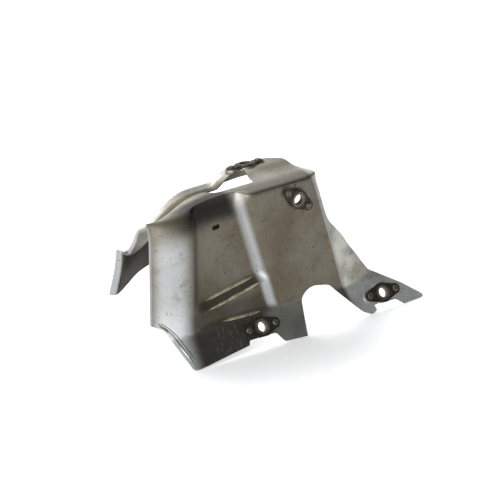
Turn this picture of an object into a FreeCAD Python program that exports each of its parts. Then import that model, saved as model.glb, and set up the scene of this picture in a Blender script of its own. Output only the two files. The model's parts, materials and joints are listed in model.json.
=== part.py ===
import FreeCAD, Part
import math
import os

from FreeCAD import Placement, Rotation, Vector

# Pressed sheet heat shield with four riveted mounting plates, in millimetres, +Z up.
# X runs along the front wall, +Y from the front wall towards the rear wall.
# The origin is the upper bolt hole, on the face that its mounting plate sits on.

doc = FreeCAD.newDocument("heat_shield")
dims = doc.addObject("Spreadsheet::Sheet", "dimensions")

DRIVING_SIZES = (
    ("sheet_thickness", 1.2),
    # front wall, measured from the lowest front corner of the sheet
    ("left_end", -30.0),
    ("corner_start", 14.0),
    ("corner_turn", 13.0),
    ("corner_run", 7.0),
    ("flange_depth", 20.0),
    ("flange_height", 30.0),
    ("recess_depth", 11.0),
    ("lower_recess_depth", 4.0),
    ("band_low", 48.0),
    ("band_high", 60.0),
    ("band_rise", 13.0),
    ("step_x", 76.0),
    ("step_lean", 0.29),
    ("step_run", 4.0),
    ("crease_x", 155.0),
    ("crease_lean", 0.39),
    ("gusset_slope", 0.42),
    ("foot_end", 293.0),
    ("foot_net_margin", 8.0),
    ("top_bend_height", 22.0),
    # top and rear wall
    ("ridge_height", 167.0),
    ("ridge_left_drop", 9.0),
    ("ridge_setback", 9.0),
    ("shell_depth", 92.0),
    ("rear_left_drop", 36.0),
    ("rear_drop", 12.0),
    ("rear_left_inset", 0.22),
    ("rear_boss_rise", 9.0),
    ("rear_boss_x", 92.0),
    ("groove_depth", 4.0),
    ("rear_flare", 17.0),
    ("lip_width", 8.0),
    ("window_left", 44.0),
    ("window_right", 110.0),
    ("window_front", 44.0),
    ("window_rear", 74.0),
    ("top_right_end", 166.0),
    # outline of the blank
    ("left_cut_front", 40.0),
    ("left_cut_rear", 48.0),
    ("left_cut_x", -18.0),
    ("notch_drop", 8.0),
    ("arch_left_run", 60.0),
    ("arch_left_height", 45.0),
    ("arch_right_run", 92.0),
    ("arch_right_height", 38.0),
    ("top_corner_height", 158.0),
    ("shoulder_x", 180.0),
    ("shoulder_height", 112.0),
    ("waist_x", 204.0),
    ("waist_height", 86.0),
    ("hip_height", 39.0),
    ("wing_low", 54.0),
    ("wing_height", 76.0),
    ("skirt_height", 112.0),
    ("boss_skirt_height", 150.0),
    # mounting plates, bushes and rivets
    ("upper_mount_x", 140.0),
    ("upper_mount_z", 146.0),
    ("upper_mount_turn", -38.0),
    ("lower_mount_x", 90.0),
    ("lower_mount_z", 19.0),
    ("tail_mount_x", 244.0),
    ("tail_mount_z", 15.0),
    ("rear_mount_x", 118.0),
    ("rear_mount_tilt", 12.0),
    ("rear_mount_inset", 12.5),
    ("seat_thickness", 2.8),
    ("seat_proud", 0.8),
    ("seat_margin", 1.5),
    ("plate_thickness", 1.6),
    ("plate_ring_radius", 10.5),
    ("plate_ear_radius", 5.5),
    ("plate_web_width", 10.0),
    ("rivet_pitch", 33.0),
    ("rivet_radius", 2.0),
    ("rivet_head_radius", 3.4),
    ("rivet_head_height", 1.6),
    ("bore_radius", 5.5),
    ("bush_wall", 1.2),
    ("bush_flange_width", 1.4),
    ("bush_flange_height", 0.8),
    ("fit_clearance", 0.05),
)
for row, (alias, value) in enumerate(DRIVING_SIZES, 1):
    dims.set(f"A{row}", alias)
    dims.set(f"B{row}", str(value))
    dims.setAlias(f"B{row}", alias)
doc.recompute()


def size(alias):
    return float(dims.get(alias))


def smooth(start, end, value):
    """Soft ramp from 0 at start to 1 at end."""
    share = min(max((value - start) / (end - start), 0.0), 1.0)
    return share * share * (3.0 - 2.0 * share)


# Sheet form: a control net of stations along X, each a profile from the front foot to the rear hem

def station_lean(x):
    """How far a front station moves right for each millimetre down the wall."""
    if x < size("corner_start"):
        return 0.0
    if x < size("step_x"):
        return size("step_lean") * (x - size("corner_start")) / (size("step_x") - size("corner_start"))
    if x < size("crease_x"):
        share = (x - size("step_x")) / (size("crease_x") - size("step_x"))
        return size("step_lean") + share * (size("crease_lean") - size("step_lean"))
    return size("crease_lean")


def stations():
    """Station positions, close together where the press turns the sheet sharply."""
    left, corner = size("left_end"), size("corner_start")
    step, crease = size("step_x"), size("crease_x")
    foot = size("foot_end") + size("foot_net_margin") - size("crease_lean") * size("ridge_height")
    spread = [left + share * (corner - left) for share in (0.0, 0.08, 0.3, 0.6, 0.85)]
    spread += [corner, corner + size("corner_run")]
    spread += [corner + share * (step - corner) for share in (0.35, 0.6, 0.82)]
    spread += [step - size("step_run"), step, step + 5.0]
    spread += [step + share * (crease - step) for share in (0.25, 0.5, 0.75, 0.92)]
    spread += [crease, crease + 5.0]
    spread += [crease + share * (foot - crease) for share in (0.3, 0.55, 0.8, 1.0)]
    return spread


def front_profile(x):
    """Wall points of one station from below the foot up to the top bend."""
    flange, depth = size("flange_height"), size("flange_depth")
    rise = size("band_rise") * smooth(size("corner_start"), size("step_x"), x)
    low, high = size("band_low") + rise, size("band_high") + rise
    upper = size("ridge_height") - size("top_bend_height")
    in_recess = smooth(size("corner_start"), size("corner_start") + size("corner_run"), x)
    in_recess *= 1.0 - smooth(size("step_x") - size("step_run"), size("step_x") + size("step_run"), x)
    turn = max(size("corner_start") - x, 0.0) / (size("corner_start") - size("left_end"))
    wall = depth + size("corner_turn") * turn ** 2
    gusset = size("gusset_slope") * max(x - size("crease_x"), 0.0)
    points = []
    for share in (-0.3, 0.15, 0.5, 0.9):
        points.append((wall - depth + depth * share, flange * share))
    lower_wall = wall + size("lower_recess_depth") * in_recess
    points.append((wall, flange + 1.0))
    points.append((lower_wall + 0.3 * gusset, flange + 6.0))
    points.append((lower_wall + 0.6 * gusset, low - 1.0))
    upper_wall = wall + size("recess_depth") * in_recess + gusset
    points.append((lower_wall + 0.7 * gusset, low + 2.0))
    points.append((upper_wall, high - 2.0))
    points.append((upper_wall, high + 3.0))
    for share in (0.3, 0.65, 1.0):
        points.append((upper_wall, high + 3.0 + share * (upper - high - 3.0)))
    return points


def rear_boss_share(x):
    """Share of the flat rear boss in a station, 0 on the grooved rim to 1 on the boss."""
    return smooth(size("rear_boss_x") - 14.0, size("rear_boss_x") + 4.0, x)


def rear_edge(x):
    """Rear edge of the crown at one station: its y and z, the ridge height and the drop towards the left."""
    drop = size("rear_left_drop") * (1.0 - smooth(size("left_end"), 45.0, x))
    to_right = smooth(size("left_end"), 50.0, x)
    ridge = size("ridge_height") - size("ridge_left_drop") * (1.0 - to_right)
    height = ridge - size("rear_drop") - drop + size("rear_boss_rise") * rear_boss_share(x)
    return size("shell_depth") - size("rear_left_inset") * drop, height, ridge, drop


def boss_height(x, y):
    """Height of the boss plane, which falls towards the rear."""
    rear, rear_z = rear_edge(x)[:2]
    return rear_z + (rear - y) * math.tan(math.radians(size("rear_mount_tilt")))


def top_profile(x):
    """Points of one station from the top bend over the crown and down the rear wall."""
    wall = front_profile(x)[-1][0]
    rear, rear_z, ridge, drop = rear_edge(x)
    boss = rear_boss_share(x)
    crest = size("flange_depth") + size("ridge_setback")
    soft = 1.0 - smooth(size("step_x") - size("step_run"), size("step_x") + 6.0, x)
    flare = size("rear_flare") * (1.0 - smooth(size("left_end"), 60.0, x))
    corner_span = size("corner_start") - size("left_end")
    wing = size("corner_turn") * max(size("corner_start") - x, 0.0) / corner_span
    points = [
        (wall + 0.5 * soft, ridge - 6.0 - 8.0 * soft),
        (wall + 0.5 + 3.0 * soft, ridge - 0.5 - 2.5 * soft),
        (crest + 4.0 * soft + 0.5 * wing, ridge),
        (crest + 9.0, ridge - 1.0 - 0.12 * drop),
        (0.55 * crest + 0.45 * rear, ridge - 3.0 - 0.25 * drop),
    ]
    groove = size("groove_depth")
    rim = ((rear - 26.0, ridge - 9.0 - 0.5 * drop), (rear - 15.0, rear_z + 0.15 * drop - groove),
           (rear - 7.0, rear_z - groove + 1.0), (rear - 1.0, rear_z + 1.0))
    for y, z in rim:
        points.append((y, z + boss * (boss_height(x, y) - z)))
    points += [
        (rear + 0.5, rear_z - 6.0),
        (rear + 0.1 * flare, rear_z - 22.0),
        (rear + 0.5 * flare, rear_z - 42.0),
        (rear + flare, rear_z - 66.0),
        (rear + flare, rear_z - 90.0),
    ]
    return points


def control_net():
    """Outer control points, one list for each station, with the rear lip turned out at the left end."""
    net = []
    reference = size("ridge_height")
    for x in stations():
        lean = station_lean(x)
        front = [Vector(x + lean * (reference - z), y, z) for y, z in front_profile(x)]
        crown = [Vector(x, y, z) for y, z in top_profile(x)]
        net.append(front + crown)
    lip = []
    first = net[0]
    front_count = len(front_profile(size("left_end")))
    for index, point in enumerate(first):
        share = smooth(front_count + 2, len(first) - 4, index)
        lip.append(point + Vector(-1.5, size("lip_width") * share, 0.3 * size("lip_width") * share))
    return [lip] + net


def net_normals(net):
    """Outward direction of the net at each control point."""
    normals = []
    last_station, last_row = len(net) - 1, len(net[0]) - 1
    for i in range(len(net)):
        line = []
        for j in range(len(net[0])):
            along = net[min(i + 1, last_station)][j] - net[max(i - 1, 0)][j]
            up = net[i][min(j + 1, last_row)] - net[i][max(j - 1, 0)]
            line.append(along.cross(up).normalize())
        normals.append(line)
    return normals


def net_surface(net):
    """Clamped surface that the control net shapes: cubic, or straight across a net of two lines."""
    surface = Part.BSplineSurface()
    degrees, knots, multiplicities = [], [], []
    for count in (len(net), len(net[0])):
        degree = min(3, count - 1)
        spans = count - degree
        degrees.append(degree)
        knots.append([float(k) for k in range(spans + 1)])
        multiplicities.append([degree + 1] + [1] * (spans - 1) + [degree + 1])
    surface.buildFromPolesMultsKnots(net, multiplicities[0], multiplicities[1], knots[0], knots[1],
                                     False, False, degrees[0], degrees[1])
    return surface.toShape()


def pressed_blank():
    """Closed solid between the outer surface and one sheet thickness inside it."""
    outer = control_net()
    normals = net_normals(outer)
    thickness = size("sheet_thickness")
    inner = [[point - normal * thickness for point, normal in zip(points, line)]
             for points, line in zip(outer, normals)]
    nets = [outer, inner, [outer[0], inner[0]], [outer[-1], inner[-1]]]
    for end in (0, -1):
        nets.append([[points[end] for points in side] for side in (outer, inner)])
    faces = Part.makeCompound([net_surface(net) for net in nets])
    faces.sewShape()
    solid = Part.Solid(faces.Shells[0])
    if solid.Volume < 0:
        solid.reverse()
    return solid


# Outline cuts

def rounded_prism(corners, direction):
    """Prism over a closed outline whose corners are (point, radius)."""
    count = len(corners)
    starts, ends, mids = [], [], []
    for i, (point, radius) in enumerate(corners):
        before = (corners[i - 1][0] - point).normalize()
        after = (corners[(i + 1) % count][0] - point).normalize()
        if radius == 0:
            starts.append(point)
            ends.append(point)
            mids.append(None)
            continue
        half = before.getAngle(after) / 2.0
        reach = radius / math.tan(half)
        bisector = (before + after).normalize()
        starts.append(point + before * reach)
        ends.append(point + after * reach)
        mids.append(point + bisector * (radius / math.sin(half) - radius))
    edges = []
    for i in range(count):
        if mids[i] is not None:
            edges.append(Part.Arc(starts[i], mids[i], ends[i]).toShape())
        following = (i + 1) % count
        if (starts[following] - ends[i]).Length > 1e-6:
            edges.append(Part.LineSegment(ends[i], starts[following]).toShape())
    return Part.Face(Part.Wire(edges)).extrude(direction)


def wall_cut(corners, front, rear):
    """Prism along Y over an outline given as (x, z, radius)."""
    outline = [(Vector(x, front, z), radius) for x, z, radius in corners]
    return rounded_prism(outline, Vector(0, rear - front, 0))


def lower_outline():
    """Bottom edge of the front wall from left to right, as (x, z, corner radius)."""
    lower_x, lower_z = size("lower_mount_x"), size("lower_mount_z")
    tail_x, tail_z = size("tail_mount_x"), size("tail_mount_z")
    drop = size("notch_drop")
    left_cut = [(size("left_end") - 4.0, size("left_cut_rear"), 0),
                (size("left_cut_x"), size("left_cut_front"), 22.0), (0.0, 0.0, 4.0)]
    lower_tab = [(lower_x - 41.0, 5.0, 20.0), (lower_x - 20.0, 7.0, 2.0),
                 (lower_x - 18.0, lower_z - drop, 1.5), (lower_x + 15.0, lower_z - drop - 0.5, 5.0),
                 (lower_x + 22.0, 1.0, 5.0), (lower_x + 50.0, -0.5, 1.0)]
    arch = [(lower_x + size("arch_left_run"), size("arch_left_height"), 16.0),
            (lower_x + size("arch_right_run"), size("arch_right_height"), 16.0)]
    tail_tab = [(tail_x - 30.0, 4.0, 12.0), (tail_x - 20.0, -0.5, 8.0), (tail_x - 12.0, 2.0, 2.0),
                (tail_x - 14.5, tail_z - drop, 1.5), (tail_x + 14.0, tail_z - drop - 1.0, 4.0),
                (tail_x + 22.0, 0.0, 4.0), (size("foot_end") - 5.0, 0.5, 3.0)]
    return left_cut + lower_tab + arch + tail_tab


def right_outline():
    """Right edge of the front wall from the crown down to the tip of the foot, as (x, z, corner radius)."""
    tail_x = size("tail_mount_x")
    return [(size("top_right_end") + 1.0, size("top_corner_height"), 10.0),
            (size("shoulder_x"), size("shoulder_height"), 40.0),
            (size("waist_x"), size("waist_height"), 60.0),
            (tail_x - 8.0, size("hip_height"), 20.0), (tail_x + 28.0, 18.0, 30.0),
            (size("foot_end"), 3.0, 3.0)]


def rear_outline():
    """Bottom edge of the rear wall from the wing to the boss, as (x, z, corner radius)."""
    return [(size("left_end") - 2.0, size("wing_low"), 0), (-8.0, size("wing_height"), 30.0),
            (20.0, 83.0, 40.0), (60.0, size("skirt_height"), 30.0), (85.0, 148.0, 12.0),
            (size("rear_mount_x"), size("boss_skirt_height"), 20.0)]


def outline_cuts():
    """Prisms that trim the blank: bottom, right and rear edges, window and top right corner."""
    low, high = -80.0, 260.0
    left, right_side = -80.0, size("foot_end") + 30.0
    front, split, rear = -80.0, 62.0, 200.0
    foot = size("foot_end")
    bottom = wall_cut([(left, low, 0), (left, 58.0, 0)] + lower_outline() +
                      [(right_side, 5.0, 0), (right_side, low, 0)], front, split)
    right = wall_cut([(size("top_right_end") + 1.0, high, 0)] + right_outline() +
                     [(foot - 10.0, -20.0, 0), (foot + 60.0, -20.0, 0), (foot + 60.0, high, 0)], front, rear)
    back = wall_cut([(left, low, 0), (left, 46.0, 0)] + rear_outline() +
                    [(right_side, 146.0, 0), (right_side, low, 0)], split, rear)
    crown_low, crown_reach = 110.0, Vector(0, 0, 110.0)
    window_left, window_right = size("window_left"), size("window_right")
    window_front, window_rear = size("window_front"), size("window_rear")
    window = rounded_prism([(Vector(x, y, crown_low), radius) for x, y, radius in (
        (window_left, window_rear - 2.0, 5.0), (window_left + 12.0, window_front, 8.0),
        (window_right - 6.0, window_front, 5.0), (window_right, window_rear, 5.0),
    )], crown_reach)
    end = size("top_right_end")
    corner = rounded_prism([(Vector(x, y, crown_low), radius) for x, y, radius in (
        (end + 40.0, 30.0, 0), (end + 1.0, 32.0, 0), (end - 8.0, 72.0, 25.0), (end - 40.0, 130.0, 0),
        (end + 40.0, 130.0, 0),
    )], crown_reach)
    return [bottom, right, back, window, corner]


# Mounting points: each has a place, an outward direction and the long direction of its plate

def flange_point(x, z):
    return Vector(x, size("flange_depth") * z / size("flange_height"), z)


def flange_direction():
    return Vector(0, -size("flange_height"), size("flange_depth")).normalize()


def seat_placement(point, outward, along):
    across = outward.cross(along)
    return Placement(point + outward * size("seat_proud"), Rotation(along, across, outward, "ZXY"))


def mount_placements():
    turn = math.radians(size("upper_mount_turn"))
    tilt = math.radians(size("rear_mount_tilt"))
    along_x = Vector(1, 0, 0)
    rear_y = rear_edge(size("rear_mount_x"))[0] - size("rear_mount_inset")
    rear_z = boss_height(size("rear_mount_x"), rear_y)
    upper = Vector(size("upper_mount_x"), size("flange_depth"), size("upper_mount_z"))
    lower = flange_point(size("lower_mount_x"), size("lower_mount_z"))
    tail = flange_point(size("tail_mount_x"), size("tail_mount_z"))
    return {
        "upper": seat_placement(upper, Vector(0, -1, 0), Vector(math.cos(turn), 0, math.sin(turn))),
        "lower": seat_placement(lower, flange_direction(), along_x),
        "tail": seat_placement(tail, flange_direction(), along_x),
        "rear": seat_placement(Vector(size("rear_mount_x"), rear_y, rear_z),
                               Vector(0, math.sin(tilt), math.cos(tilt)), along_x),
    }


def plate_outline_prism(margin, bottom, height):
    """Ring with two ears on a straight web, grown by a margin, in the mount's own axes."""
    half_pitch = size("rivet_pitch") / 2.0
    base = Vector(0, 0, bottom)
    width = size("plate_web_width") + 2.0 * margin
    solid = Part.makeCylinder(size("plate_ring_radius") + margin, height, base)
    web = Part.makeBox(2.0 * half_pitch, width, height, Vector(-half_pitch, -width / 2.0, bottom))
    solid = solid.fuse(web)
    for side in (-half_pitch, half_pitch):
        ear = Part.makeCylinder(size("plate_ear_radius") + margin, height, Vector(side, 0, bottom))
        solid = solid.fuse(ear)
    return solid.removeSplitter()


def hole_tools(bottom, height):
    """Bush and rivet holes through a plate or its seat."""
    bush = size("bore_radius") + size("bush_wall") + size("fit_clearance")
    tools = [Part.makeCylinder(bush, height, Vector(0, 0, bottom))]
    for side in (-0.5, 0.5):
        place = Vector(side * size("rivet_pitch"), 0, bottom)
        tools.append(Part.makeCylinder(size("rivet_radius") + size("fit_clearance"), height, place))
    return tools


def placed(shape, placement):
    moved = shape.copy()
    moved.Placement = placement
    return moved


def shield_shape(mounts):
    """Pressed blank, trimmed to its outline, with a flat seat and holes at each mount."""
    solid = pressed_blank()
    cuts = outline_cuts()
    for cut in cuts:
        solid = solid.cut(cut)
    thickness = size("seat_thickness")
    seat = plate_outline_prism(size("seat_margin"), -thickness, thickness)
    for place in mounts.values():
        pad = placed(seat, place)
        for cut in cuts[:3]:
            pad = pad.cut(cut)
        solid = solid.fuse(pad)
    clear_height = 4.0 * thickness
    room = plate_outline_prism(size("seat_margin"), 0.0, clear_height)
    for place in mounts.values():
        solid = solid.cut(placed(room, place))
        for tool in hole_tools(-3.0 * thickness, 6.0 * thickness):
            solid = solid.cut(placed(tool, place))
    return solid


def add_shape(label, shape, placement):
    feature = doc.addObject("Part::Feature", label)
    feature.Label = label
    feature.Shape = shape
    feature.Placement = placement
    return feature


mounts = mount_placements()
origin_shift = Placement(mounts["upper"].Base * -1.0, Rotation())
subparts = [add_shape("shield_sheet", shield_shape(mounts), origin_shift)]


# Plates, bushes and rivets, drawn once in the mount's own axes

def cylinder(name, radius, height, bottom="0"):
    item = doc.addObject("Part::Cylinder", name)
    item.setExpression("Radius", radius)
    item.setExpression("Height", height)
    item.setExpression("Placement.Base.z", bottom)
    return item


def fused(name, items):
    joined = doc.addObject("Part::MultiFuse", name)
    joined.Shapes = items
    joined.Refine = True
    return joined


def drilled(name, base, tool):
    cut = doc.addObject("Part::Cut", name)
    cut.Base = base
    cut.Tool = tool
    return cut


def plate_object(name):
    ring = cylinder(f"{name}_ring", "dimensions.plate_ring_radius", "dimensions.plate_thickness")
    web = doc.addObject("Part::Box", f"{name}_web")
    web.setExpression("Length", "dimensions.rivet_pitch")
    web.setExpression("Width", "dimensions.plate_web_width")
    web.setExpression("Height", "dimensions.plate_thickness")
    web.setExpression("Placement.Base.x", "-dimensions.rivet_pitch / 2")
    web.setExpression("Placement.Base.y", "-dimensions.plate_web_width / 2")
    bush_hole = "dimensions.bore_radius + dimensions.bush_wall + dimensions.fit_clearance"
    ears, holes = [], [cylinder(f"{name}_bush_hole", bush_hole, "dimensions.plate_thickness")]
    for side, sign in (("left", "-"), ("right", "")):
        ear = cylinder(f"{name}_{side}_ear", "dimensions.plate_ear_radius", "dimensions.plate_thickness")
        hole = cylinder(f"{name}_{side}_hole", "dimensions.rivet_radius + dimensions.fit_clearance",
                        "dimensions.plate_thickness")
        for item in (ear, hole):
            item.setExpression("Placement.Base.x", f"{sign}dimensions.rivet_pitch / 2")
        ears.append(ear)
        holes.append(hole)
    return drilled(name, fused(f"{name}_blank", [ring, web] + ears), fused(f"{name}_holes", holes))


def bush_object(name):
    outer = "dimensions.bore_radius + dimensions.bush_wall"
    length = "dimensions.seat_thickness + dimensions.plate_thickness + dimensions.bush_flange_height"
    sleeve = cylinder(f"{name}_sleeve", outer, length, "-dimensions.seat_thickness")
    flange = cylinder(f"{name}_flange", f"{outer} + dimensions.bush_flange_width",
                      "dimensions.bush_flange_height", "dimensions.plate_thickness")
    bore = cylinder(f"{name}_bore", "dimensions.bore_radius", length, "-dimensions.seat_thickness")
    return drilled(name, fused(f"{name}_blank", [sleeve, flange]), bore)


def rivet_shape():
    """Shank with a domed head outside and an upset tail inside."""
    top, bottom = size("plate_thickness"), -size("seat_thickness")
    radius, height = size("rivet_head_radius"), size("rivet_head_height")
    tail_height = 0.7 * height
    shank = Part.makeCylinder(size("rivet_radius"), top - bottom, Vector(0, 0, bottom))
    head = Part.makeCylinder(radius, height, Vector(0, 0, top))
    crown = [edge for edge in head.Edges if edge.BoundBox.ZMin > top + 0.5 * height]
    head = head.makeFillet(0.7 * height, crown)
    tail = Part.makeCylinder(radius, tail_height, Vector(0, 0, bottom - tail_height))
    return shank.fuse([head, tail]).removeSplitter()


rivets = []
for mount_name, mount in mounts.items():
    place = origin_shift.multiply(mount)
    plate = plate_object(f"{mount_name}_mount_plate")
    bush = bush_object(f"{mount_name}_mount_bush")
    for item in (plate, bush):
        item.Placement = place
        subparts.append(item)
    for side in (-0.5, 0.5):
        offset = Placement(Vector(side * size("rivet_pitch"), 0, 0), Rotation())
        rivets.append(placed(rivet_shape(), place.multiply(offset)))
subparts.append(add_shape("plate_rivets", Part.makeCompound(rivets), Placement()))

doc.recompute()
for item in doc.Objects:
    if "Invalid" in item.State or "Error" in item.State:
        raise RuntimeError(f"{item.Label} failed to build")
os.makedirs("parts", exist_ok=True)
for item in subparts:
    if item.Shape.isNull() or not item.Shape.isValid():
        raise RuntimeError(f"{item.Label} has no valid shape")
for item in subparts:
    item.Shape.exportStep(f"parts/{item.Label}.step")
    box = item.Shape.BoundBox
    print(f"{item.Label}: {len(item.Shape.Solids)} solid, volume {item.Shape.Volume:.0f}, "
          f"x {box.XMin:.1f} {box.XMax:.1f} y {box.YMin:.1f} {box.YMax:.1f} z {box.ZMin:.1f} {box.ZMax:.1f}")
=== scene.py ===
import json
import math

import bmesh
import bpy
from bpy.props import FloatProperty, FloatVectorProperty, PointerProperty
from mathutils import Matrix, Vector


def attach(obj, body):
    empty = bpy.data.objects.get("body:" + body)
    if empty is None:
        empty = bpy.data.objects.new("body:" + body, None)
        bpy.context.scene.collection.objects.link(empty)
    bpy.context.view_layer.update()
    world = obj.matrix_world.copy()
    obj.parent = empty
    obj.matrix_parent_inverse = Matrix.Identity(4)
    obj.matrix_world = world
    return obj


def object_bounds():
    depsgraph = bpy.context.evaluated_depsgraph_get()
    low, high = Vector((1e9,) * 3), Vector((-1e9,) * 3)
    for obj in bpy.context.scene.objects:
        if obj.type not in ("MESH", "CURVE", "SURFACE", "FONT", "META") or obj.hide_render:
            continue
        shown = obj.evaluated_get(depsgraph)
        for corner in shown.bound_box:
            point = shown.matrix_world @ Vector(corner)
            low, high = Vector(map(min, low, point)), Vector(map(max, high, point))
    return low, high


bl_info = {
    "name": "Pressed heat shield",
    "version": (1, 0, 0),
    "blender": (4, 5, 0),
    "location": "View3D > Sidebar > Heat shield",
    "description": "Finishes, pressed details and studio stage for a sheet metal heat shield",
    "category": "Object",
}

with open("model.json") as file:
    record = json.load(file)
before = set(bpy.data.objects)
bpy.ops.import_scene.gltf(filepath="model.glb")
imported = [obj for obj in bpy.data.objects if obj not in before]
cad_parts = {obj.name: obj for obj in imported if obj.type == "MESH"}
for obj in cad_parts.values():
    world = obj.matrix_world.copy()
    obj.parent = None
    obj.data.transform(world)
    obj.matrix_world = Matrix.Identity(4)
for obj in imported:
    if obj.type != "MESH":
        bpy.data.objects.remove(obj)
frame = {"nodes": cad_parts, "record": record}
CAD_LOW, CAD_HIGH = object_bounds()
MM = 0.001
MOUNTS = ("upper", "lower", "tail", "rear")
SHEET = frame["nodes"]["shield_sheet"]

# Places on the sheet as pixels of the 500 by 500 picture, where one pixel is one millimetre at the object
PICTURE_MIDDLE = 250.0
JOGGLE_CREASES = {"upper_joggle_crease": ((203, 302), (228, 289), (254, 276)),
                  "lower_joggle_crease": ((208, 311), (234, 297), (261, 282))}
FLANGE_CREASE = ((222, 322), (242, 317), (261, 312))
BOTTOM_HEM = ((152.5, 323), (158, 325), (165, 329), (172, 335), (180, 346), (189, 357), (196.5, 367))
# Dark lines: painted shade in the fold of the hem, and the lip's sheet edge darkened with painted shadow
HEM_FOLD_SHADE = ((156.5, 322), (162, 324), (169, 328.5), (176, 335), (184, 345), (192, 355.5), (198, 363.5))
LIP_EDGE_SHADE = ((123.5, 257), (121.5, 270), (117.5, 292))
GAUGE_MARKS = {"upper_gauge_mark": ((295.5, 183), (295.8, 188)),
               "lower_gauge_mark": ((261.5, 313), (262, 317))}
SMUDGES = ((214.5, 228), (217.5, 226.8))

# Where a finish starts and where it is full, along X, Y or Z of the part
FRONT_Y = (18 * MM, 6 * MM)
WALL_Z = (-119 * MM, -108 * MM)
COLUMN_TOP_Z = (8 * MM, -26 * MM)
COLUMN_FOOT_Z = (-70 * MM, -112 * MM)
CROWN_Y = (10 * MM, 30 * MM)
CROWN_Z = (-35 * MM, -15 * MM)
RIM_X = (-40 * MM, -62 * MM)
RIM_Z = (-45 * MM, -30 * MM)
# Painted shade under the ridge
RIDGE_SHADE_X = (-160 * MM, -120 * MM)
RIDGE_SHADE_Y = (36 * MM, 22 * MM)
# Painted shade on the inner face of the rear wall
INSIDE_Y = (30 * MM, 45 * MM)
INSIDE_Z = (-15 * MM, -35 * MM)
FLANGE_Z = (-112 * MM, -120 * MM)
BAND_X = (-122 * MM, -108 * MM)

# The same, as distances from the right crease and from the dark line at the lip's edge
GUSSET_RUN = (-2 * MM, 4 * MM)
FLANGE_RUN = (-30 * MM, -110 * MM)
LIP_RUN = (0.0, -2 * MM)

# Bands of a finish: middle, half width and soft border
UNDER_JOGGLE_Z = (-104 * MM, 5 * MM, 10 * MM)
SCUFF_X = (-92 * MM, 12 * MM, 18 * MM)
FLANGE_END_X = (-14 * MM, 14 * MM, 22 * MM)
GROOVE_HALF_WIDTH = 4 * MM
GROOVE_BORDER = 4 * MM

# Patterns of the finishes: how far they are drawn out, their depths and the sizes of their patches
# Real grain and pits are finer, and are drawn as coarse as they need to be to show
NOISE_ROUGHNESS = 0.62
SCRATCH_STRETCH = (1.0, 1.0, 0.06)
SCUFF_STRETCH = (1.0, 0.2, 0.25)
SMUDGE_CORE = 0.6
GRAIN_DEPTH = 0.25 * MM
DENT_DEPTH = 1.2 * MM
CREST_PATCH = 9 * MM
CREST_GRAIN = 1.2 * MM
CREST_GRAIN_DEPTH = 0.2 * MM
SCALE_PATCH = 2.2 * MM
RUST_PIT = 0.7 * MM
RUST_PIT_DEPTH = 0.5 * MM

# Stage, in metres, with the lights placed from the middle of the picture
FLOOR_REACH = 6.0
CAMERA_REACH = 50.0
LEFT_BOX_PLACE = (-1.05, -0.72, 0.10)
LEFT_BOX_SIZE = (1.7, 1.1)
BACK_BOX_PLACE = (-0.2, 1.1, 1.3)
BACK_BOX_SIZE = (1.6, 1.0)

# Room light: the way to its bright side, and its strength from the dark side to the bright one
ROOM_BRIGHT_SIDE = (-0.55, 0.60, 0.58)
ROOM_TURN = (-0.25, 0.75)
ROOM_STRENGTH = (0.06, 1.35)


def linear(hex_colour):
    """Linear RGB of an sRGB hex value."""
    channels = [int(hex_colour[i:i + 2], 16) / 255.0 for i in (1, 3, 5)]
    return [c / 12.92 if c <= 0.04045 else ((c + 0.055) / 1.055) ** 2.4 for c in channels]


def colour_setting(name, description, hex_colour):
    """Colour that a user would change."""
    return FloatVectorProperty(name=name, description=description, subtype="COLOR", size=3,
                               default=linear(hex_colour))


def length_setting(name, description, millimetres):
    """Length that a user would change."""
    return FloatProperty(name=name, description=description, unit="LENGTH", default=millimetres * MM)


# Settings that a user would change

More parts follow.
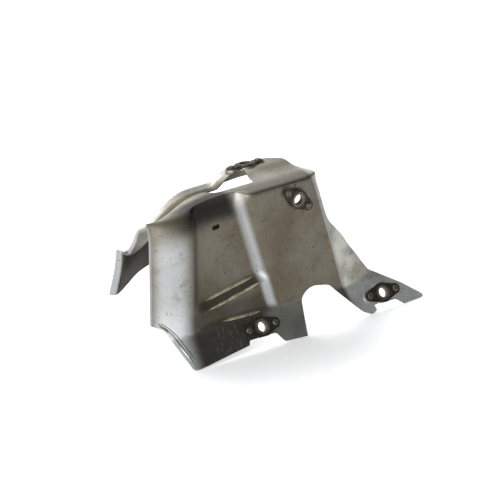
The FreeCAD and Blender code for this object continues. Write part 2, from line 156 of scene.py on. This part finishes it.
class ShieldFinish(bpy.types.PropertyGroup):
    """Colours and grain of the sheet and of its mounting plates."""
    sheet_colour: colour_setting("Sheet", "Dull rolled sheet", "#6f6b61")
    stain_colour: colour_setting("Heat stain", "Brown heat and oil stain", "#574a35")
    # Bright metal: painted highlight on the corner column, step, right crease and lip, and also the colour of
    # the fine scratches and the hem's light patches
    highlight_and_scratch_colour: colour_setting("Highlight and scratches", "Rubbed metal on the corner, step and creases", "#b1b5b6")
    # Pale sheet: painted sheen, lighter sheet on the crown, the gusset and the flange end
    pale_sheen_colour: colour_setting("Pale sheen", "Less stained sheet of the crown and gusset", "#bebeb5")
    # Foot: painted highlight, near white, on the foot of the gusset and of the corner column
    foot_highlight_colour: colour_setting("Foot highlight", "Clean rolled sheet of the foot", "#e0e3e3")
    # Groove: darker brown along the groove of the rear rim
    groove_colour: colour_setting("Groove", "Brown grime in the groove of the rear rim", "#3d3527")
    crease_colour: colour_setting("Creases", "Warm light on a sharp pressed crease", "#cfc3a0")
    scuff_colour: colour_setting("Scuffs", "Bluish scuffs on the flange", "#93a3ab")
    # Soot: painted shade under the ridge, in the lower recess, on the flange, between the joggle creases and
    # on the inner face of the rear wall
    painted_shade_colour: colour_setting("Painted shade", "Dark haze under the ridge", "#1f1f20")
    # Dirt: burnt specks, pits and smudges, and also the painted shade of the hem fold and lip edge lines and
    # the colour of the gauge marks
    dirt_and_shade_colour: colour_setting("Dirt and shade", "Burnt specks and smudges", "#0d0b09")
    plate_colour: colour_setting("Plates", "Oxidised plate steel", "#231e1a")
    scale_colour: colour_setting("Scale", "Brown scale on the plates", "#63533f")
    # Bushes and rivets: lighter steel, lightened further as a painted highlight on the ring crest and the
    # rivet heads
    bush_colour: colour_setting("Bushes", "Rubbed bush and rivet steel", "#4a433a")
    scale_and_highlight_colour: colour_setting("Scale and highlight", "Light scale on bushes and rivets", "#8a7e6a")
    stain_size: length_setting("Stain size", "Width of one heat stain", 55)
    dent_size: length_setting("Dent size", "Width of the soft unevenness of the pressing", 22)
    grain_size: length_setting("Grain size", "Grain of the rolled sheet, drawn coarse enough to show", 1.4)
    speck_size: length_setting("Speck size", "Spacing of the burnt specks", 4.2)
    pit_size: length_setting("Pit size", "Spacing of the fine pits, drawn coarse enough to show", 2.24)
    scratch_size: length_setting("Scratch size", "Spacing of the fine upright scratches", 1.26)
    scuff_size: length_setting("Scuff size", "Spacing of the scuffs on the flange", 1.6)
    corner_line: length_setting("Corner line", "X of the brightest line of the corner column", -152)
    corner_width: length_setting("Corner width", "Width of the bright corner column", 16)
    # Lip line: where the painted highlight of the lip starts, beside the dark line at the lip's edge
    lip_line: length_setting("Lip line", "X of the seam beside the bright lip", -169)
    step_line: length_setting("Step line", "X of the step at the height of the origin", -64)
    # Step width: width of the painted highlight on the crest of the step
    step_width: length_setting("Step width", "Width of the rubbed crest of the step", 6)
    crease_line: length_setting("Crease line", "X of the right crease at the height of the origin", 26)
    # Crease width: width of the painted highlight along the right crease
    crease_width: length_setting("Crease width", "Width of the rubbed right crease", 0.8)
    # Height and width of the painted shade under the ridge
    ridge_shade_height: length_setting("Soot height", "Z of the darkest soot under the ridge", 10)
    ridge_shade_width: length_setting("Soot width", "Height of the soot under the ridge", 15)
    groove_line: length_setting("Groove line", "Y of the stained groove along the rear rim", 58)
    smudge_radius: length_setting("Smudge radius", "Reach of the black smudge", 3.4)
    # Band: painted shade between the joggle creases
    band_line: length_setting("Band line", "Z of the dark band between the creases, where X is nought", -72.4)
    band_width: length_setting("Band width", "Height of the dark band between the joggle creases", 9)
    band_lean: FloatProperty(name="Band lean", description="Rise of the dark band for each unit of length",
                             default=0.18)
    step_lean: FloatProperty(name="Step lean", description="Sideways run of the step for each unit of height",
                             default=0.31)
    crease_lean: FloatProperty(name="Crease lean", default=0.30,
                               description="Sideways run of the crease for each unit of height")


class ShieldDetails(bpy.types.PropertyGroup):
    """Sizes of the small pressed details."""
    crease_width: length_setting("Crease width", "Width of a joggle crease", 3.0)
    crease_height: length_setting("Crease height", "Height of a joggle crease", 0.4)
    hem_width: length_setting("Hem width", "Width of the folded bottom hem", 2.6)
    hem_height: length_setting("Hem height", "Height of the folded bottom hem", 0.9)
    # Dark lines: painted shade along the hem fold and the lip edge, and the gauge marks
    dark_line_width: length_setting("Seam width", "Width of the seam lines and of the gauge marks", 0.9)
    dark_line_height: length_setting("Seam height", "Height of the seam lines and of the gauge marks", 0.2)
    plate_ring: length_setting("Plate ring", "Radius of the plate around its hole", 10.5)
    plate_ear: length_setting("Plate ear", "Radius of the plate around a rivet", 5.5)
    rivet_reach: length_setting("Rivet reach", "From the hole to a rivet", 16.5)
    web_height: length_setting("Web height", "Height of the web between ring and ears", 0.6)
    web_inner: length_setting("Web inner radius", "Inner radius of the web, inside the ring", 8.6)


class ShieldStage(bpy.types.PropertyGroup):
    """Camera, floor and light."""
    turn: FloatProperty(name="Turn", description="How far the front wall turns away from the camera",
                        subtype="ANGLE", default=math.radians(36))
    elevation: FloatProperty(name="Elevation", description="Camera height angle", subtype="ANGLE",
                             default=math.radians(25))
    distance: length_setting("Distance", "Camera to picture centre", 3000)
    frame_width: length_setting("Frame width", "Width of the picture at the object", 500)
    centre: FloatVectorProperty(name="Centre", description="Point in the middle of the picture", size=3,
                                subtype="TRANSLATION", default=(-66 * MM, -9.2 * MM, -35.4 * MM))
    floor_colour: colour_setting("Floor", "Pale floor", "#f8f8f7")
    room_colour: colour_setting("Room", "Light of the room", "#f6f8fb")
    corner_power: FloatProperty(name="Corner light", description="Power of the low soft box on the left",
                                subtype="POWER", default=34.0)
    back_power: FloatProperty(name="Back light", description="Power of the high soft box behind",
                              subtype="POWER", default=26.0)


# Camera directions and places on the sheet

def camera_axes(stage):
    """Right, up and ahead of the camera."""
    right = Vector((math.cos(stage.turn), -math.sin(stage.turn), 0.0))
    ahead = Vector((math.cos(stage.elevation) * math.sin(stage.turn),
                    math.cos(stage.elevation) * math.cos(stage.turn), -math.sin(stage.elevation)))
    return right, right.cross(ahead), ahead


def on_sheet(pixel):
    """Point and outward normal of the sheet behind a pixel of the picture."""
    stage = bpy.context.scene.shield_stage
    right, up, ahead = camera_axes(stage)
    offset = right * (pixel[0] - PICTURE_MIDDLE) + up * (PICTURE_MIDDLE - pixel[1])
    start = Vector(stage.centre) + offset * MM - ahead * stage.distance
    hit, point, normal, _ = SHEET.ray_cast(start, ahead)
    if not hit:
        raise RuntimeError(f"no sheet behind pixel {pixel}")
    return point, normal


def path_on_sheet(pixels, steps=10):
    """Points and normals along a line of pixels, laid on the sheet."""
    places = []
    for first, last in zip(pixels, pixels[1:]):
        for step in range(steps):
            share = step / steps
            places.append([a + (b - a) * share for a, b in zip(first, last)])
    places.append(pixels[-1])
    return [on_sheet(place) for place in places]


# Material building

def add_node(tree, kind, inputs=None, **settings):
    """Add a node, set its properties, and link or set its inputs."""
    node = tree.nodes.new(kind)
    for name, value in settings.items():
        setattr(node, name, value)
    for socket, value in (inputs or {}).items():
        if isinstance(value, bpy.types.NodeSocket):
            tree.links.new(value, node.inputs[socket])
        else:
            node.inputs[socket].default_value = value
    return node


def new_material(name):
    """Empty material and its node tree."""
    material = bpy.data.materials.new(name)
    material.use_nodes = True
    material.node_tree.nodes.clear()
    return material, material.node_tree


def pattern(tree, place, size, detail=3.0, stretch=(1.0, 1.0, 1.0)):
    """Uneven pattern with patches of a real size, drawn out along the axes whose stretch is below one."""
    scaled = add_node(tree, "ShaderNodeVectorMath", {0: place, 1: [share / size for share in stretch]},
                      operation="MULTIPLY").outputs["Vector"]
    return add_node(tree, "ShaderNodeTexNoise", {
        "Vector": scaled, "Scale": 1.0, "Detail": detail, "Roughness": NOISE_ROUGHNESS}).outputs["Fac"]


def within(value, middle, half_width, border):
    """Two limits that leave a band around a middle value."""
    low, high = middle - half_width, middle + half_width
    return [(value, low - border, low), (value, high + border, high)]


def layered(tree, colour, layers):
    """Colours laid over a base colour in order.

    Each layer is a colour, its strength and its limits.
    A limit is a value, where the layer starts and where it is full.
    """
    base = (*colour, 1.0)
    for over, strength, limits in layers:
        share = strength
        for value, start, full in limits:
            held = add_node(tree, "ShaderNodeMapRange", {"Value": value, "From Min": start, "From Max": full},
                            interpolation_type="SMOOTHSTEP").outputs["Result"]
            share = add_node(tree, "ShaderNodeMath", {0: share, 1: held}, operation="MULTIPLY").outputs[0]
        mixed = add_node(tree, "ShaderNodeMix", {0: share, 6: base, 7: (*over, 1.0)}, data_type="RGBA")
        base = mixed.outputs[2]
    return base


# Aluminium sheet, rolled, pressed and used hot: a soft grey shine and brown stain, painted highlights on the
# corner, step, creases and lip, painted sheen on the crown and gusset, and painted shade under the ridge, in
# the recess, on the flange and inside
def rolled_sheet_material(finish):
    """Finish of the pressed sheet, laid on by place."""
    material, tree = new_material("rolled_aluminium_sheet")
    place = add_node(tree, "ShaderNodeTexCoord").outputs["Object"]
    x, y, z = add_node(tree, "ShaderNodeSeparateXYZ", {"Vector": place}).outputs
    leans = ((z, finish.step_lean, x), (z, finish.crease_lean, x), (x, -finish.band_lean, z))
    along_step, along_crease, across_band = [
        add_node(tree, "ShaderNodeMath", {0: run, 1: lean, 2: start}, operation="MULTIPLY_ADD").outputs[0]
        for run, lean, start in leans]

    stain = pattern(tree, place, finish.stain_size, detail=5.0)
    grain = pattern(tree, place, finish.grain_size)
    dent = pattern(tree, place, finish.dent_size)
    speck = pattern(tree, place, finish.speck_size)
    pit = pattern(tree, place, finish.pit_size, detail=1.0)
    scratch = pattern(tree, place, finish.scratch_size, stretch=SCRATCH_STRETCH)
    scuff = pattern(tree, place, finish.scuff_size, detail=5.0, stretch=SCUFF_STRETCH)

    front = (y, *FRONT_Y)
    below = (z, *FLANGE_Z)
    gusset = (along_crease, *[finish.crease_line + run for run in GUSSET_RUN])
    flange = [below, (along_crease, *[finish.crease_line + run for run in FLANGE_RUN])]
    lip = (x, *[finish.lip_line + run for run in LIP_RUN])
    recess = (along_step, finish.step_line, finish.step_line - 2.0 * finish.step_width)
    column = [front, (z, *COLUMN_TOP_Z),
              *within(x, finish.corner_line, 0.5 * finish.corner_width, 1.2 * finish.corner_width)]
    step = [front, (z, *WALL_Z),
            *within(along_step, finish.step_line, 0.3 * finish.step_width, finish.step_width)]
    crease = [front, *within(along_crease, finish.crease_line, 0.5 * finish.crease_width,
                             2.0 * finish.crease_width)]
    joggle_band = [front, recess, (x, *BAND_X),
                   *within(across_band, finish.band_line, 0.35 * finish.band_width, 0.3 * finish.band_width)]
    shading = [recess, (x, *RIDGE_SHADE_X), (y, *RIDGE_SHADE_Y),
            *within(z, finish.ridge_shade_height, 0.5 * finish.ridge_shade_width, finish.ridge_shade_width)]
    groove = [(x, *RIM_X), (z, *RIM_Z), *within(y, finish.groove_line, GROOVE_HALF_WIDTH, GROOVE_BORDER)]

    layers = [
        # Painted sheen: the gusset is paler
        (finish.pale_sheen_colour, 0.95, [gusset]),
        # Painted highlight: the foot of the gusset is near white
        (finish.foot_highlight_colour, 0.95, [gusset, below]),
        # Painted sheen: the crown is paler
        (finish.pale_sheen_colour, 0.5, [(y, *CROWN_Y), (z, *CROWN_Z)]),
        (finish.stain_colour, 0.5, [(stain, 0.40, 0.66)]),
        (finish.stain_colour, 0.3, [(grain, 0.45, 0.75)]),
        # Painted shade: the flange, the lower recess and the band between the joggle creases are darker
        (finish.painted_shade_colour, 0.42, flange),
        (finish.painted_shade_colour, 0.45, [recess, *within(z, *UNDER_JOGGLE_Z)]),
        (finish.painted_shade_colour, 0.38, joggle_band),
        # Painted sheen: the end of the flange is paler
        (finish.pale_sheen_colour, 0.5, [below, *within(x, *FLANGE_END_X)]),
        (finish.scuff_colour, 0.54, [*flange, *within(x, *SCUFF_X), (scuff, 0.50, 0.75)]),
        # Painted shade on the inner face of the rear wall
        (finish.painted_shade_colour, 0.7, [(y, *INSIDE_Y), (z, *INSIDE_Z)]),
        # Painted highlights on the lip, the corner column, the step and the right crease
        (finish.highlight_and_scratch_colour, 0.6, [lip]),
        (finish.highlight_and_scratch_colour, 0.78, [*column, (dent, 0.10, 0.50)]),
        # Painted highlight: the foot of the corner column is near white
        (finish.foot_highlight_colour, 0.55, [*column, (z, *COLUMN_FOOT_Z)]),
        (finish.highlight_and_scratch_colour, 0.9, step),
        (finish.highlight_and_scratch_colour, 0.4, crease),
        # Painted shade under the ridge
        (finish.painted_shade_colour, 0.9, shading),
        # Darker brown along the groove of the rear rim
        (finish.groove_colour, 0.9, groove),
        (finish.highlight_and_scratch_colour, 0.07, [(scratch, 0.60, 0.72)]),
        (finish.dirt_and_shade_colour, 0.55, [(pit, 0.66, 0.74)]),
        (finish.dirt_and_shade_colour, 0.9, [(speck, 0.70, 0.75)]),
    ]
    for pixel in SMUDGES:
        middle = on_sheet(pixel)[0]
        apart = add_node(tree, "ShaderNodeVectorMath", {0: place, 1: middle}, operation="DISTANCE")
        smudge = (apart.outputs["Value"], finish.smudge_radius, SMUDGE_CORE * finish.smudge_radius)
        layers.append((finish.dirt_and_shade_colour, 1.0, [smudge]))

    roughness = add_node(tree, "ShaderNodeMapRange", {
        "Value": stain, "From Min": 0.3, "From Max": 0.7, "To Min": 0.40, "To Max": 0.56}).outputs["Result"]
    fine = add_node(tree, "ShaderNodeBump", {"Height": grain, "Strength": 0.2, "Distance": GRAIN_DEPTH})
    uneven = add_node(tree, "ShaderNodeBump", {
        "Height": dent, "Normal": fine.outputs["Normal"], "Strength": 0.35, "Distance": DENT_DEPTH})
    shader = add_node(tree, "ShaderNodeBsdfPrincipled", {
        "Base Color": layered(tree, finish.sheet_colour, layers), "Roughness": roughness,
        "Normal": uneven.outputs["Normal"], "Metallic": 0.92})
    add_node(tree, "ShaderNodeOutputMaterial", {"Surface": shader.outputs["BSDF"]})
    return material


# Aluminium of a narrow pressed detail: a painted highlight, a dark line of painted shade or a mark, in
# patches with fine grain
def narrow_detail_material(name, colour, patch_colour, roughness):
    """Finish of a crease, hem, dark line or mark."""
    material, tree = new_material(name)
    place = add_node(tree, "ShaderNodeTexCoord").outputs["Object"]
    patch_noise = pattern(tree, place, CREST_PATCH)
    grain = pattern(tree, place, CREST_GRAIN)
    shade = layered(tree, colour, [(patch_colour, 0.8, [(patch_noise, 0.42, 0.66)]),
                                   (patch_colour, 0.4, [(grain, 0.50, 0.75)])])
    bump = add_node(tree, "ShaderNodeBump", {
        "Height": grain, "Strength": 0.25, "Distance": CREST_GRAIN_DEPTH})
    shader = add_node(tree, "ShaderNodeBsdfPrincipled", {
        "Base Color": shade, "Normal": bump.outputs["Normal"], "Metallic": 0.92, "Roughness": roughness})
    add_node(tree, "ShaderNodeOutputMaterial", {"Surface": shader.outputs["BSDF"]})
    return material


# Pressed steel, oxidised by heat: nearly black and rough, with brown scale in grains and small pits
def oxidised_steel_material(name, colour, scale_colour, scale_share, roughness):
    """Finish of a plate, web, bush or rivet."""
    material, tree = new_material(name)
    place = add_node(tree, "ShaderNodeTexCoord").outputs["Object"]
    scale = pattern(tree, place, SCALE_PATCH, detail=6.0)
    pits = pattern(tree, place, RUST_PIT)
    shade = layered(tree, colour, [(scale_colour, scale_share, [(scale, 0.48, 0.70)]),
                                   (scale_colour, 0.6, [(pits, 0.60, 0.70)])])
    bump = add_node(tree, "ShaderNodeBump", {
        "Height": pits, "Strength": 0.6, "Distance": RUST_PIT_DEPTH})
    shader = add_node(tree, "ShaderNodeBsdfPrincipled", {
        "Base Color": shade, "Normal": bump.outputs["Normal"], "Metallic": 0.6, "Roughness": roughness})
    add_node(tree, "ShaderNodeOutputMaterial", {"Surface": shader.outputs["BSDF"]})
    return material


def set_material(node_name, material):
    """Give a CAD node its finish."""
    mesh = frame["nodes"][node_name].data
    mesh.materials.clear()
    mesh.materials.append(material)


# Mesh building

def new_piece(name, vertices, faces, material):
    """Mesh object that rides on the part."""
    mesh = bpy.data.meshes.new(name)
    mesh.from_pydata(vertices, [], faces)
    mesh.update()
    shape = bmesh.new()
    shape.from_mesh(mesh)
    bmesh.ops.recalc_face_normals(shape, faces=shape.faces)
    shape.to_mesh(mesh)
    shape.free()
    mesh.materials.append(material)
    piece = bpy.data.objects.new(name, mesh)
    bpy.context.scene.collection.objects.link(piece)
    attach(piece, "root")
    return piece


def bead(name, pixels, width, height, material):
    """Low rounded ridge along a line on the sheet, sunk a little into it and tapered at its ends."""
    path = path_on_sheet(pixels)
    last = len(path) - 1
    arcs = 6
    row = arcs + 1
    sunk = 0.1 * MM
    blunt_end = 0.15
    taper_rate = 5.0
    vertices, faces = [], []
    for index, (point, normal) in enumerate(path):
        before = path[max(index - 1, 0)][0]
        after = path[min(index + 1, last)][0]
        side = (after - before).cross(normal).normalized()
        from_end = min(index, last - index) / last
        taper = min(1.0, blunt_end + taper_rate * from_end)
        for arc in range(row):
            angle = math.pi * arc / arcs
            vertices.append(point + side * (0.5 * width * taper * math.cos(angle)) +
                            normal * (height * taper * math.sin(angle) - sunk))
    for index in range(last):
        near, far = index * row, (index + 1) * row
        for arc in range(row):
            following = (arc + 1) % row
            faces.append((near + arc, near + following, far + following, far + arc))
    faces.append(tuple(range(row)))
    faces.append(tuple(range(last * row, len(path) * row)))
    piece = new_piece(name, vertices, faces, material)
    piece.data.polygons.foreach_set("use_smooth", [True] * len(piece.data.polygons))


def plate_web_outline(details):
    """Outline around the ring and both ears, drawn tight like a band, as points about the hole."""
    reach, ring, ear = details.rivet_reach, details.plate_ring, details.plate_ear
    lean = math.acos((ring - ear) / reach)
    steps = 8
    outline = []
    for side in (0.0, math.pi):
        for step in range(steps + 1):
            angle = side - lean + 2.0 * lean * step / steps
            outline.append((reach * math.cos(side) + ear * math.cos(angle),
                            reach * math.sin(side) + ear * math.sin(angle)))
        for step in range(1, steps):
            angle = side + lean + (math.pi - 2.0 * lean) * step / steps
            outline.append((ring * math.cos(angle), ring * math.sin(angle)))
    return outline


def plate_web(mount, details, material):
    """Web that fills the corners between a plate's ring and its ears."""
    place = next(item for item in frame["record"]["mounts"] if item["name"] == f"{mount}_bore")
    centre, axis = Vector(place["pos_m"]), Vector(place["axis"]).normalized()
    far_corner = max((vertex.co - centre for vertex in frame["nodes"][f"{mount}_mount_plate"].data.vertices),
                     key=lambda offset: offset.length)
    along = (far_corner - axis * far_corner.dot(axis)).normalized()
    across = axis.cross(along)
    sunk = 1.0 * MM
    edge_height = 0.8 * details.web_height
    shoulder_share = 0.97
    vertices, faces = [], []
    for x, y in plate_web_outline(details):
        flat = along * x + across * y
        inner = flat.normalized() * details.web_inner
        vertices += [centre + flat - axis * sunk,
                     centre + flat + axis * edge_height,
                     centre + flat * shoulder_share + axis * details.web_height,
                     centre + inner + axis * details.web_height,
                     centre + inner - axis * sunk]
    row = 5
    count = len(vertices) // row
    for index in range(count):
        near, far = index * row, (index + 1) % count * row
        for level in range(row):
            above = (level + 1) % row
            faces.append((near + level, far + level, far + above, near + above))
    new_piece(f"{mount}_plate_web", vertices, faces, material)


# Stage light

def area_light(name, place, aim, size, power):
    """Soft box that points at a place."""
    data = bpy.data.lights.new(name, "AREA")
    data.shape = "RECTANGLE"
    data.size, data.size_y = size
    data.energy = power
    light = bpy.data.objects.new(name, data)
    light.location = place
    light.rotation_euler = (aim - place).to_track_quat("-Z", "Y").to_euler()
    bpy.context.scene.collection.objects.link(light)


# Operators, one for each group of pieces and one for the stage

class SHIELD_OT_sheet(bpy.types.Operator):
    """Finish the pressed sheet"""
    bl_idname = "shield.sheet"
    bl_label = "Finish sheet"

    def execute(self, context):
        set_material("shield_sheet", rolled_sheet_material(context.scene.shield_finish))
        return {"FINISHED"}


class SHIELD_OT_details(bpy.types.Operator):
    """Lay the creases, hem, dark shade lines and gauge marks on the sheet"""
    bl_idname = "shield.details"
    bl_label = "Add pressed details"

    def execute(self, context):
        finish, details = context.scene.shield_finish, context.scene.shield_details
        # Crest: painted highlight along the creases
        bright = narrow_detail_material("painted_highlight_crest", finish.crease_colour, finish.sheet_colour, 0.42)
        # Dark lines: painted shade along the hem fold and the lip edge, and the colour of the gauge marks
        dark = narrow_detail_material("shade_and_mark_line", finish.dirt_and_shade_colour, finish.stain_colour, 0.6)
        # Hem: lightened in patches with the highlight colour, a painted highlight on its upper face
        hem = narrow_detail_material("folded_sheet_hem", finish.sheet_colour, finish.highlight_and_scratch_colour, 0.45)
        for name, pixels in JOGGLE_CREASES.items():
            bead(name, pixels, details.crease_width, details.crease_height, bright)
        bead("flange_crease", FLANGE_CREASE, details.crease_width, details.crease_height, bright)
        bead("bottom_hem", BOTTOM_HEM, details.hem_width, details.hem_height, hem)
        # Painted shade in the fold of the hem and along the lip's edge
        bead("hem_fold_shade", HEM_FOLD_SHADE, details.dark_line_width, details.dark_line_height, dark)
        bead("lip_edge_shade", LIP_EDGE_SHADE, details.dark_line_width, details.dark_line_height, dark)
        for name, pixels in GAUGE_MARKS.items():
            bead(name, pixels, details.dark_line_width, details.dark_line_height, dark)
        return {"FINISHED"}


class SHIELD_OT_plates(bpy.types.Operator):
    """Finish the mounting plates with their webs, bushes and rivets"""
    bl_idname = "shield.plates"
    bl_label = "Finish plates"

    def execute(self, context):
        finish, details = context.scene.shield_finish, context.scene.shield_details
        dark, light = (finish.plate_colour, finish.scale_colour), (finish.bush_colour, finish.scale_and_highlight_colour)
        plate = oxidised_steel_material("oxidised_plate_steel", *dark, 0.8, 0.5)
        web = oxidised_steel_material("oxidised_web_steel", *dark, 0.4, 0.6)
        # Lighter bushes and rivets: their steel with a painted highlight on the ring crest and the rivet
        # heads
        bush = oxidised_steel_material("bush_steel_with_highlight", *light, 0.8, 0.42)
        rivet = oxidised_steel_material("rivet_steel_with_highlight", *light, 0.7, 0.45)
        for mount in MOUNTS:
            set_material(f"{mount}_mount_plate", plate)
            set_material(f"{mount}_mount_bush", bush)
            plate_web(mount, details, web)
        set_material("plate_rivets", rivet)
        return {"FINISHED"}


class SHIELD_OT_stage(bpy.types.Operator):
    """Lay the pale floor, set the studio light and place the camera"""
    bl_idname = "shield.stage"
    bl_label = "Build stage"

    def execute(self, context):
        stage = context.scene.shield_stage
        self.lay_floor(context, stage)
        self.light_room(context, stage)
        self.place_camera(context, stage)
        return {"FINISHED"}

    # Floor paper: matt and nearly white
    def lay_floor(self, context, stage):
        """Flat floor that the part stands on."""
        mesh = bpy.data.meshes.new("studio_floor")
        sides = ((-1, -1), (1, -1), (1, 1), (-1, 1))
        corners = [(FLOOR_REACH * x, FLOOR_REACH * y, CAD_LOW.z) for x, y in sides]
        mesh.from_pydata(corners, [], [(0, 1, 2, 3)])
        floor = bpy.data.objects.new("studio_floor", mesh)
        context.scene.collection.objects.link(floor)
        material, tree = new_material("pale_floor_paper")
        shader = add_node(tree, "ShaderNodeBsdfPrincipled", {
            "Base Color": (*stage.floor_colour, 1.0), "Roughness": 0.9})
        add_node(tree, "ShaderNodeOutputMaterial", {"Surface": shader.outputs["BSDF"]})
        mesh.materials.append(material)

    def light_room(self, context, stage):
        """Soft room light from one side and two soft boxes."""
        world = bpy.data.worlds.new("studio")
        world.use_nodes = True
        tree = world.node_tree
        tree.nodes.clear()
        way = add_node(tree, "ShaderNodeTexCoord").outputs["Generated"]
        towards = add_node(tree, "ShaderNodeVectorMath", {0: way, 1: Vector(ROOM_BRIGHT_SIDE).normalized()},
                           operation="DOT_PRODUCT")
        strength = add_node(tree, "ShaderNodeMapRange", {
            "Value": towards.outputs["Value"], "From Min": ROOM_TURN[0], "From Max": ROOM_TURN[1],
            "To Min": ROOM_STRENGTH[0], "To Max": ROOM_STRENGTH[1]}, interpolation_type="SMOOTHSTEP")
        background = add_node(tree, "ShaderNodeBackground", {
            "Color": (*stage.room_colour, 1.0), "Strength": strength.outputs["Result"]})
        add_node(tree, "ShaderNodeOutputWorld", {"Surface": background.outputs["Background"]})
        context.scene.world = world
        centre = Vector(stage.centre)
        area_light("left_softbox", centre + Vector(LEFT_BOX_PLACE), centre, LEFT_BOX_SIZE, stage.corner_power)
        area_light("back_softbox", centre + Vector(BACK_BOX_PLACE), centre, BACK_BOX_SIZE, stage.back_power)

    def place_camera(self, context, stage):
        """Camera at the picture's angle and frame."""
        data = bpy.data.cameras.new("photo_camera")
        data.lens = data.sensor_width * stage.distance / stage.frame_width
        data.clip_end = CAMERA_REACH
        camera = bpy.data.objects.new("photo_camera", data)
        ahead = camera_axes(stage)[2]
        camera.location = Vector(stage.centre) - ahead * stage.distance
        camera.rotation_euler = ahead.to_track_quat("-Z", "Y").to_euler()
        context.scene.collection.objects.link(camera)
        context.scene.camera = camera
        context.scene.view_settings.view_transform = "Standard"


class SHIELD_PT_panel(bpy.types.Panel):
    """Settings and steps of the heat shield"""
    bl_idname = "SHIELD_PT_panel"
    bl_label = "Heat shield"
    bl_space_type = "VIEW_3D"
    bl_region_type = "UI"
    bl_category = "Heat shield"

    def draw(self, context):
        """List the settings, then the steps."""
        for name, group in GROUPS.items():
            for setting in group.__annotations__:
                self.layout.prop(getattr(context.scene, name), setting)
        for operator in OPERATORS:
            self.layout.operator(operator.bl_idname)


OPERATORS = (SHIELD_OT_sheet, SHIELD_OT_details, SHIELD_OT_plates, SHIELD_OT_stage)
GROUPS = {"shield_finish": ShieldFinish, "shield_details": ShieldDetails, "shield_stage": ShieldStage}
CLASSES = (*GROUPS.values(), *OPERATORS, SHIELD_PT_panel)


def register():
    """Add the classes and the settings."""
    for item in CLASSES:
        bpy.utils.register_class(item)
    for name, group in GROUPS.items():
        setattr(bpy.types.Scene, name, PointerProperty(type=group))


def unregister():
    """Take the settings and the classes away."""
    for name in GROUPS:
        delattr(bpy.types.Scene, name)
    for item in reversed(CLASSES):
        bpy.utils.unregister_class(item)


def main():
    """Run each step."""
    register()
    bpy.ops.shield.sheet()
    bpy.ops.shield.details()
    bpy.ops.shield.plates()
    bpy.ops.shield.stage()


if __name__ == "__main__":
    main()
